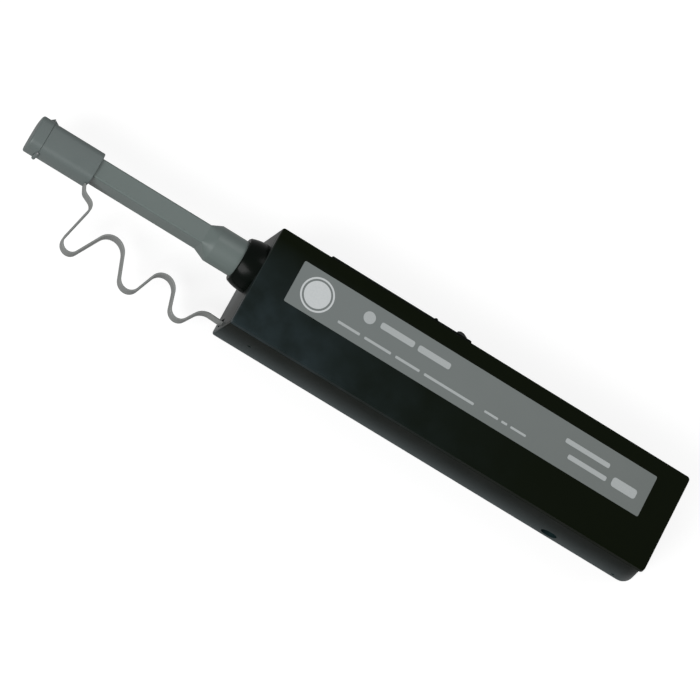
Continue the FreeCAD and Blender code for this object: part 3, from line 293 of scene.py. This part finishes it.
# %% Grey plastics
nozzle_grey = moulded("nozzle_grey", (0.112, 0.140, 0.133), 0.36, (0.130, 0.158, 0.150),
                      grain_mm=0.5, depth_mm=0.005, patch=0.08, Specular_IOR_Level=0.45)
drag = nozzle_grey.noise(0.5, 2.0, stretch=(0.03, 1.0, 1.0))
nozzle_grey.paint(Roughness=(drag * 0.16 + 0.28).clamp())
cap_grey = moulded("cap_grey", (0.106, 0.130, 0.126), 0.46, (0.125, 0.147, 0.143),
                   grain_mm=0.4, depth_mm=0.010, Specular_IOR_Level=0.4)
strap_grey = moulded("strap_grey", (0.185, 0.195, 0.188), 0.40, (0.225, 0.233, 0.226),
                     grain_mm=0.6, depth_mm=0.006, Specular_IOR_Level=0.5)

# %% [markdown]
# ## Label film
# The label is a grey printed film in a shallow recess. Its ink has a very fine dither, and its
# face has the slow waviness of glued film. Its grey is painted paler towards the nozzle and
# darker towards the rear, a painted falloff of the light. The print on it is kept generic: a
# disc in a ring, a dot and plain bars where lines of words would be.
# The badge's ink is dense and pale. The bars' ink is thinner, so it lets more grey through.

# %% Label
# painted light: the film's grey runs from a lit front tone to a dimmer rear tone
FILM_PAINTED_LIT = (0.152, 0.173, 0.170)
FILM_PAINTED_DIM = (0.118, 0.134, 0.127)
FILM_DITHER = (0.128, 0.143, 0.139)

label_film = Finish("label_film", (0.140, 0.158, 0.155), 0.42, Specular_IOR_Level=0.4)
ripple = label_film.noise(9.0, 2.0)
dither = label_film.noise(0.18, 1.0)
label_film.bump(ripple * 0.8 + dither * 0.2, 0.02, 0.5)
# Painted light falloff: the film is paler at the front and darker at the rear.
film_painted_falloff = label_film.mix(label_film.fade(0, cover_low.x, cover_high.x), FILM_PAINTED_LIT, FILM_PAINTED_DIM)
label_film.paint(Base_Color=label_film.mix(dither * 0.3, film_painted_falloff, FILM_DITHER),
                 Roughness=(ripple * 0.12 + 0.36).clamp())


def ink(name, worn_mm, thin, thick):
    """Printed ink whose colour wanders from thin to thick where it is worn."""
    middle = tuple((a + b) / 2 for a, b in zip(thin, thick))
    finish = Finish(name, middle, 0.45)
    worn = finish.noise(worn_mm, 3.0)
    finish.paint(Base_Color=finish.mix(worn, thin, thick), Roughness=worn * 0.2 + 0.35)
    return finish


badge_ink = ink("print_ink", 0.35, (0.46, 0.49, 0.495), (0.58, 0.60, 0.605))
word_ink = ink("word_ink", 0.3, (0.30, 0.325, 0.325), (0.42, 0.445, 0.445))
print("finishes so far:", len(bpy.data.materials))

# %% [markdown]
# ## Inner plastics, tape and metal
# The reels, gear, rack and stem are natural white engineering plastics. The tape is a woven
# microfibre: two crossed wave patterns raise its threads. Springs and pins are drawn or ground
# steel, whose brushed lines are noise stretched along the metal.

# %% White plastics and tape
gear_white = moulded("gear_white", (0.60, 0.60, 0.56), 0.38, (0.66, 0.66, 0.63), depth_mm=0.005)
reel_white = moulded("reel_white", (0.50, 0.51, 0.50), 0.42, (0.56, 0.57, 0.56), depth_mm=0.006)
stem_white = moulded("stem_white", (0.56, 0.56, 0.53), 0.40, (0.60, 0.60, 0.58), depth_mm=0.004)
head_rubber = moulded("head_rubber", (0.50, 0.50, 0.46), 0.62, (0.55, 0.55, 0.51),
                      grain_mm=0.2, depth_mm=0.006)
WAVE_PER_THREAD = 0.314  # scale of a Wave texture whose bands are 1 apart, roughly


def woven(name, colour, thread_mm):
    finish = Finish(name, colour, 0.85, Sheen_Weight=0.3, Sheen_Roughness=0.5)
    threads = []
    for direction in ("X", "Z"):
        settings = {"wave_type": "BANDS", "bands_direction": direction, "wave_profile": "SIN"}
        scale = WAVE_PER_THREAD / (thread_mm * MM)
        values = {"Vector": finish.place(), "Scale": scale, "Distortion": 0.4}
        threads.append(finish.node("ShaderNodeTexWave", settings, values))
    weave = (threads[0] + threads[1]) * 0.5
    finish.bump(weave, 0.03, 0.7)
    dark = tuple(value * 0.8 for value in colour)
    finish.paint(Base_Color=finish.mix(weave, dark, colour), Roughness=weave * -0.1 + 0.9)
    return finish


tape_white = woven("tape_white", (0.82, 0.82, 0.80), 0.3)


# %% Metals
def metal(name, colour, roughness, size_mm, stretch):
    finish = Finish(name, colour, roughness, Metallic=1.0)
    lines = finish.noise(size_mm, 3.0, stretch=stretch)
    finish.bump(lines, 0.004, 0.4)
    dull = tuple(value * 0.75 for value in colour)
    finish.paint(Base_Color=finish.mix(lines, dull, colour),
                 Roughness=((lines - 0.5) * 0.25 + roughness).clamp())
    return finish


spring_steel = metal("spring_steel", (0.56, 0.56, 0.57), 0.30, 0.3, (1.0, 1.0, 1.0))
pin_steel = metal("pin_steel", (0.60, 0.60, 0.61), 0.24, 0.2, (1.0, 1.0, 0.05))
screw_steel = metal("screw_steel", (0.10, 0.10, 0.105), 0.38, 0.3, (1.0, 1.0, 1.0))

# %% [markdown]
# ## Give each CAD node its finish
# A CAD node keeps its mesh and its place, and only its material slot changes. The strap and
# three springs get a finish too, though a copy of each is shown in their place further down.

# %% Finishes on the CAD nodes
FINISHES = {
    "rear_shell": housing_black,
    "front_cover": cover_black,
    "label": label_film,
    "nozzle_collar": collar_black,
    "nozzle": nozzle_grey,
    "cap": cap_grey,
    "cap_lid": cap_grey,
    "thumb_knob": knob_black,
    "tape_stem": stem_white,
    "stem_block": stem_white,
    "cleaning_head": head_rubber,
    "cleaning_tape": tape_white,
    "takeup_roll": tape_white,
    "supply_roll": tape_white,
    "takeup_reel": reel_white,
    "supply_reel": reel_white,
    "drive_gear": gear_white,
    "slide_rack": gear_white,
    "corner_roller": reel_white,
    "feed_roller": reel_white,
    "run_roller": reel_white,
    "nozzle_spring": spring_steel,
    "head_spring": spring_steel,
    "return_spring": spring_steel,
    "clutch_spring": spring_steel,
    "click_pawl": spring_steel,
    "drag_spring": spring_steel,
    "roller_pins": pin_steel,
    "takeup_shaft": pin_steel,
    "supply_shaft": pin_steel,
    "lid_pin": pin_steel,
    "case_screws": screw_steel,
    "tether_strap": strap_grey,
}


for name, finish in FINISHES.items():
    for slot in nodes[name].material_slots:
        slot.material = finish.material
print("dressed", len(FINISHES), "of", len(nodes), "nodes")


# %% [markdown]
# ## Pieces of our own
# Each new piece is drawn in one bmesh, turned into an object at the origin, given its finish
# and told which body it rides on. The helper below does those steps, so that each cell after
# it holds only the shape.


# %% Piece helper
SHARP_ANGLE = 0.6  # radians between faces from which an edge shows as an edge


def dress(made, finish):
    made.data.materials.clear()
    made.data.materials.append(finish.material)


def piece(name, mesh, finish, body, smooth=True):
    """Object from a bmesh; with body None it is attached to no body."""
    bmesh.ops.recalc_face_normals(mesh, faces=mesh.faces)
    data = bpy.data.meshes.new(name)
    mesh.to_mesh(data)
    mesh.free()
    made = bpy.data.objects.new(name, data)
    bpy.context.scene.collection.objects.link(made)
    dress(made, finish)
    if smooth:
        data.shade_smooth()
        data.set_sharp_from_angle(angle=SHARP_ANGLE)
    if body:
        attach(made, body)
    return made


# %% [markdown]
# ## Label print
# Ink on film is a few hundredths of a millimetre thick. Each mark is a flat face that is
# extruded by that much, so it stays crisp from any distance. The ring is two circles bridged
# together. The bars use a thinner ink than the badge, because real words cover less of the
# film than a solid bar does.

# %% Label print
label_low, label_high = [Vector(corner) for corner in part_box("label")]
INK = 0.025 * MM
BADGE_DISC, BADGE_RING_IN, BADGE_RING_OUT = 4.15 * MM, 4.75 * MM, 5.3 * MM
DOT = 1.9 * MM
BAR_ROUNDING = 0.3  # of the bar's height
badge_x = label_low.x + 8.0 * MM
dot_x = label_low.x + 24.8 * MM
print_line = (label_low.y + label_high.y) / 2 - 0.1 * MM
upper_line = print_line + 2.4 * MM
WORD_ROWS = [  # mm behind the label's front edge, mm over its middle, bar height, bars, gap
    (28.8, 2.4, 2.0, [11.6, 11.2], 1.4),
    (17.0, -3.6, 0.8, [7.6, 9.2, 8.4, 17.4], 1.6),
    (68.2, -3.6, 0.7, [4.8, 2.0, 5.4], 1.2),
    (94.2, 2.0, 1.5, [15.6], 1.0),
    (97.0, -2.0, 1.5, [13.6], 1.0),
    (112.4, -1.4, 3.0, [8.6], 1.0),
]


def ink_face(mesh, faces):
    raised = bmesh.ops.extrude_face_region(mesh, geom=faces)["geom"]
    lifted = [item for item in raised if isinstance(item, bmesh.types.BMVert)]
    bmesh.ops.translate(mesh, verts=lifted, vec=(0, 0, INK))


def ink_disc(mesh, x, y, radius, sides=72):
    spot = Matrix.Translation((x, y, label_high.z))
    rim = bmesh.ops.create_circle(mesh, cap_ends=True, segments=sides, radius=radius, matrix=spot)
    ink_face(mesh, list({face for vert in rim["verts"] for face in vert.link_faces}))


def ink_ring(mesh, x, y, inner, outer, sides=96):
    spot = Matrix.Translation((x, y, label_high.z))
    edges = []
    for radius in (inner, outer):
        rim = bmesh.ops.create_circle(mesh, segments=sides, radius=radius, matrix=spot)
        edges += list({edge for vert in rim["verts"] for edge in vert.link_edges})
    ink_face(mesh, bmesh.ops.bridge_loops(mesh, edges=edges)["faces"])


def ink_bar(mesh, x0, x1, y, height):
    centre = Matrix.Translation(((x0 + x1) / 2, y, label_high.z + INK / 2))
    size = Matrix.Diagonal((x1 - x0, height, INK, 1))
    bar = bmesh.ops.create_cube(mesh, size=1.0, matrix=centre @ size)
    edges = {edge for vert in bar["verts"] for edge in vert.link_edges}
    upright = [edge for edge in edges if abs(edge.verts[0].co.z - edge.verts[1].co.z) > INK / 2]
    bmesh.ops.bevel(mesh, geom=upright, offset=height * BAR_ROUNDING, affect="EDGES",
                    segments=3, profile=0.5, material=-1)


mesh = bmesh.new()
ink_disc(mesh, badge_x, print_line, BADGE_DISC)
ink_ring(mesh, badge_x, print_line, BADGE_RING_IN, BADGE_RING_OUT)
label_badge = piece("label_badge", mesh, badge_ink, "housing", smooth=False)

mesh = bmesh.new()
ink_disc(mesh, dot_x, upper_line, DOT, sides=48)
for behind, over, height, words, gap in WORD_ROWS:
    for word in words:
        x = label_low.x + behind * MM
        ink_bar(mesh, x, x + word * MM, print_line + over * MM, height * MM)
        behind += word + gap
label_words = piece("label_words", mesh, word_ink, "housing", smooth=False)
print("label print faces:", len(label_badge.data.polygons) + len(label_words.data.polygons))

# %% [markdown]
# ## The tether strap
# The strap bends when the cap is pulled off, so it can't stay a rigid solid. It is a flat
# ribbon that was moulded as a wave, and it stands on its edge. Its line is straight runs that
# touch round bends, so a few bends describe it all. A turn of 1 is anticlockwise seen from
# above, and -1 is clockwise. One rounded section is pushed along that line step by step, and
# each step is the map from one frame on the line to the next.

# %% Line of the strap
STRAP_WIDE = 4.8 * MM
STRAP_THICK = 0.6 * MM
STRAP_CORNER = 0.18 * MM
STRAP_LEAN = math.radians(-4.0)
STRAP_ROOT_SIDE = 2.5 * MM  # the strap's root, in from the housing's side
STRAP_ROOT_RISE = 2.1 * MM  # and over the lowest edge of its solid
RUN_STEP = 1.6 * MM
BEND_STEP = math.radians(9)
WAVE_RUN = 55.1  # gap in mm between the cap and the housing that the wave is drawn for
STRAP_WAVE = [  # mm in front of the housing, mm over the line of its side, radius, turn
    (55.7, 14.1, 0.0, 1),
    (53.3, 13.4, 1.8, 1),
    (53.0, 8.8, 2.3, -1),
    (50.4, -3.0, 2.8, 1),
    (39.8, 1.2, 4.6, -1),
    (30.0, -2.1, 3.35, 1),
    (20.9, 0.9, 4.1, -1),
    (12.7, -1.2, 3.1, 1),
    (4.0, -2.5, 5.0, -1),
    (-2.4, 2.5, 0.0, 1),
]
cap_low, cap_high = [Vector(corner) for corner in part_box("cap")]
wall_front = Vector(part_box("rear_shell")[0])
side_line = Vector(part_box("front_cover")[0]).y
strap_root = Vector((wall_front.x, side_line + STRAP_ROOT_SIDE,
                     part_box("tether_strap")[0][2] + STRAP_ROOT_RISE))
cap_middle = (cap_low.z + cap_high.z) / 2
strap_rise = (cap_middle - strap_root.z) / (wall_front.x - cap_high.x)
print("strap climbs", round(strap_rise, 3), "for each mm towards the cap")


# %% Runs and bends of the strap
def run_between(first, second):
    """Straight run that leaves one bend and touches the next: its ends and its heading."""
    (x1, y1, r1, turn1), (x2, y2, r2, turn2) = first, second
    span = math.hypot(x2 - x1, y2 - y1)
    heading = math.atan2(y2 - y1, x2 - x1) - math.asin((turn2 * r2 - turn1 * r1) / span)
    left = Vector((-math.sin(heading), math.cos(heading)))
    return Vector((x1, y1)) - turn1 * r1 * left, Vector((x2, y2)) - turn2 * r2 * left, heading


def strap_stations():
    """Spots along the strap's runs and round its bends, each with its heading."""
    share = (wall_front.x - cap_high.x) / WAVE_RUN
    bends = [(wall_front.x - ahead * share, side_line + over * share, radius * share, turn)
             for ahead, over, radius, turn in STRAP_WAVE]
    runs = [run_between(first, second) for first, second in zip(bends, bends[1:])]
    stations = []
    for number, (start, end, heading) in enumerate(runs):
        steps = max(1, math.ceil((end - start).length / RUN_STEP))
        stations += [(start.lerp(end, step / steps), heading) for step in range(steps + 1)]
        if number + 1 < len(runs):
            x, y, radius, turn = bends[number + 1]
            turned = (runs[number + 1][2] - heading) * turn % math.tau * turn
            steps = max(2, math.ceil(abs(turned) / BEND_STEP))
            for step in range(1, steps):
                angle = heading + turned * step / steps
                spoke = Vector((math.sin(angle), -math.cos(angle))) * turn * radius
                stations.append((Vector((x, y)) + spoke, angle))
    return stations


# %% Frames along the strap
def strap_frames():
    """Frames along the strap: X is along it, Y across its thickness and Z up its width."""
    width = Vector((math.sin(STRAP_LEAN), 0, math.cos(STRAP_LEAN)))
    frames = []
    for spot, heading in strap_stations():
        along = Vector((math.cos(heading), math.sin(heading), 0))
        across = Vector((-math.sin(heading), math.cos(heading), 0))
        height = strap_root.z + (wall_front.x - spot.x) * strap_rise
        turn = Matrix((along, across, width)).transposed().to_4x4()
        frames.append(Matrix.Translation((spot.x, spot.y, height)) @ turn)
    return frames


frames = strap_frames()
print("frames along the strap:", len(frames))

# %% Strap mesh
CORNER_STEPS = 3
BAR_SIZE = Vector((1.2, 2.9, 4.2)) * MM  # cross bar behind the slit, which holds the strap
BAR_PLACE = Vector((2.9, 0.85, 0.0)) * MM  # its middle, from the strap's root
BAR_ROUND = 0.2 * MM


def strap_section(mesh):
    """Outline of the ribbon with rounded corners, as one face."""
    corners = []
    for quarter in range(4):
        sign_y = 1 if quarter in (0, 3) else -1
        sign_z = 1 if quarter in (0, 1) else -1
        middle = Vector((0, sign_y * (STRAP_THICK / 2 - STRAP_CORNER),
                         sign_z * (STRAP_WIDE / 2 - STRAP_CORNER)))
        for part in range(CORNER_STEPS + 1):
            angle = (quarter + part / CORNER_STEPS) * math.pi / 2
            round_off = Vector((0, math.cos(angle), math.sin(angle))) * STRAP_CORNER
            corners.append(mesh.verts.new(middle + round_off))
    return mesh.faces.new(corners)


mesh = bmesh.new()
end_face = strap_section(mesh)
bmesh.ops.transform(mesh, matrix=frames[0], verts=end_face.verts[:])
for frame_now, frame_next in zip(frames, frames[1:]):  # each push leaves a wall inside
    pushed = bmesh.ops.extrude_face_region(mesh, geom=[end_face])["geom"]
    end_face = next(item for item in pushed if isinstance(item, bmesh.types.BMFace))
    bmesh.ops.transform(mesh, matrix=frame_next @ frame_now.inverted(), verts=end_face.verts[:])
bar_frame = Matrix.Translation(strap_root + BAR_PLACE) @ Matrix.Diagonal((*BAR_SIZE, 1))
bar = bmesh.ops.create_cube(mesh, size=1.0, matrix=bar_frame)
bar_edges = list({edge for vert in bar["verts"] for edge in vert.link_edges})
bmesh.ops.bevel(mesh, geom=bar_edges, offset=BAR_ROUND, affect="EDGES", segments=2,
                profile=0.5, material=-1)
strap = piece("tether_ribbon", mesh, strap_grey, None)
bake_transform(strap)
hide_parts("tether_strap")
print("strap faces:", len(strap.data.polygons))

# %% [markdown]
# ## Springs
# A spring is squeezed when its parts come together. Each CAD coil is copied, its loose
# triangles are merged, and the copy is shown in the coil's place.


# %% Springs
MERGE = 0.001 * MM


def coil(node_name):
    mesh = bmesh.new()
    mesh.from_mesh(nodes[node_name].data)
    bmesh.ops.remove_doubles(mesh, verts=mesh.verts, dist=MERGE)
    made = piece(node_name + "_coil", mesh, spring_steel, None)
    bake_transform(made)
    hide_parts(node_name)


coil("nozzle_spring")
coil("head_spring")
coil("return_spring")

# %% [markdown]
# ## Studio
# The pen lies on a pale floor. Most light is a soft dome, with one big softbox above the front
# and a weaker one behind, so dark plastic gets gentle gradients instead of sharp glints. The
# floor is white to the camera and partly to reflections, and it keeps the pen's soft shadow.
# Under the pen its glow is cut off, a painted shadow where no light gets there, because the
# pocket behind the side hole is open towards the floor.

# %% Floor
FLOOR_SIZE = 3.0
FLOOR_GAP = 0.2 * MM
FLOOR_GREY = (0.32, 0.32, 0.32)
FLOOR_GLOW = (0.78, 0.78, 0.78)
GLOW_IN_GLOSS = 0.22
EDGE_INSET = 3.0  # how far inside the pen's outline the floor goes dark
RAKE_INSET = 12.0  # and inside its raked rear end
side_mm = side_line / MM
FOOTPRINT = [  # axis, from and to, in mm
    (0, shell_low.x + EDGE_INSET, shell_high.x - RAKE_INSET),
    (1, side_mm + EDGE_INSET, -side_mm - EDGE_INSET),
]


def studio_floor():
    mesh = bmesh.new()
    bmesh.ops.create_grid(mesh, x_segments=8, y_segments=8, size=FLOOR_SIZE / 2)
    data = bpy.data.meshes.new("floor")
    mesh.to_mesh(data)
    mesh.free()
    floor = bpy.data.objects.new("floor", data)
    floor.location.z = -FLOOR_GAP
    bpy.context.scene.collection.objects.link(floor)
    finish = Finish("floor_paper", FLOOR_GREY, 0.9, Specular_IOR_Level=0.0)
    seen = finish.node("ShaderNodeLightPath", {}, {}, "Is Camera Ray")
    mirrored = finish.node("ShaderNodeLightPath", {}, {}, "Is Glossy Ray")
    through = finish.node("ShaderNodeLightPath", {}, {}, "Is Transmission Ray")
    # Painted shadow: the floor's glow is cut off inside the pen's footprint, so it shows dark
    # under the pen and through the side pocket.
    footprint_shade = [finish.fade(axis, low_mm, low_mm + 1) * finish.fade(axis, high_mm, high_mm - 1)
             for axis, low_mm, high_mm in FOOTPRINT]
    unshadowed_floor = 1 - footprint_shade[0] * footprint_shade[1]
    lit = (seen + mirrored * GLOW_IN_GLOSS + through).clamp() * unshadowed_floor
    finish.paint(Emission_Color=finish.mix(lit, (0, 0, 0), FLOOR_GLOW), Emission_Strength=1.0)
    dress(floor, finish)


studio_floor()

# %% Lights
DOME_LEVEL = 0.38
WHITE = (1.0, 1.0, 1.0, 1.0)


def dome():
    world = bpy.data.worlds.new("dome")
    world.use_nodes = True
    background = world.node_tree.nodes["Background"]
    background.inputs["Color"].default_value = WHITE
    background.inputs["Strength"].default_value = DOME_LEVEL
    bpy.context.scene.world = world


def softbox(name, place, size, power):
    data = bpy.data.lights.new(name, "AREA")
    data.shape = "RECTANGLE"
    data.size, data.size_y = size
    data.energy = power
    lamp = bpy.data.objects.new(name, data)
    lamp.location = place
    lamp.rotation_euler = (-Vector(place)).to_track_quat("-Z", "Y").to_euler()
    bpy.context.scene.collection.objects.link(lamp)


dome()
softbox("key", (-0.7, -0.9, 0.9), (0.8, 0.8), 15.0)
softbox("fill", (0.5, 0.7, 1.2), (0.9, 0.9), 5.0)
bpy.context.scene.view_settings.view_transform = "Standard"
